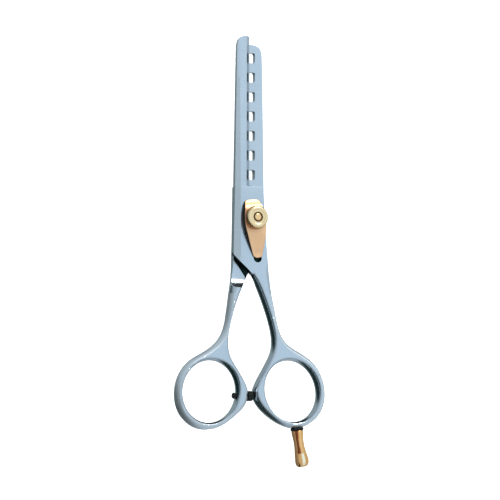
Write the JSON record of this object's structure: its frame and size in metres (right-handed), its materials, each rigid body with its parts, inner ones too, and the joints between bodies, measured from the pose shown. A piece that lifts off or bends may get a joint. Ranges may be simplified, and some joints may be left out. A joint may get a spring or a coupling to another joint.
{
  "type": "thinning shears",
  "caption": "Hairdresser's thinning shears: one plain blade, one comb blade, offset finger rings, leaf spring with tension knob, bumper and finger rest.",
  "frame": {"origin": "pivot axis where it meets the back face of the comb half, which is the plane the closed shears lie on", "axes": "+Y from the pivot to the blade tips, +Z along the pivot axis from the back face to the tension knob, +X towards the ring that carries the finger rest"},
  "size_m": [0.0562, 0.1518, 0.0105],
  "materials": {
    "comb_steel": "satin",
    "plain_steel": "satin",
    "stud_steel": "satin",
    "washer_steel": "satin",
    "bushing": "matt",
    "gold_spring": "satin",
    "gold_knob": "polished",
    "gold_rest": "polished",
    "rubber": "matt",
    "rest_washer": "matt"
  },
  "bodies": {
    "comb_half": {"comb_blade": "comb_steel", "pivot_bushing": "bushing", "ride_washer": "bushing", "bumper": "rubber"},
    "plain_half": {"plain_blade": "plain_steel", "pivot_stud": "stud_steel", "head_washer": "bushing", "leaf_spring": "gold_spring", "knob_washer": "washer_steel", "rest_washer": "rest_washer", "rest_stud": "stud_steel", "finger_rest": "gold_rest"},
    "tension_knob": {"tension_knob": "gold_knob"}
  },
  "joints": [
    {"name": "blade_pivot", "type": "hinge", "parent": "comb_half", "child": "plain_half", "pos_m": [0, 0, 0], "axis": [0, 0, 1], "range_deg": [0, 120]},
    {"name": "knob_turn", "type": "hinge", "parent": "plain_half", "child": "tension_knob", "pos_m": [0, 0, 0.009], "axis": [0, 0, 1], "range_deg": [-180, 360]}
  ]
}
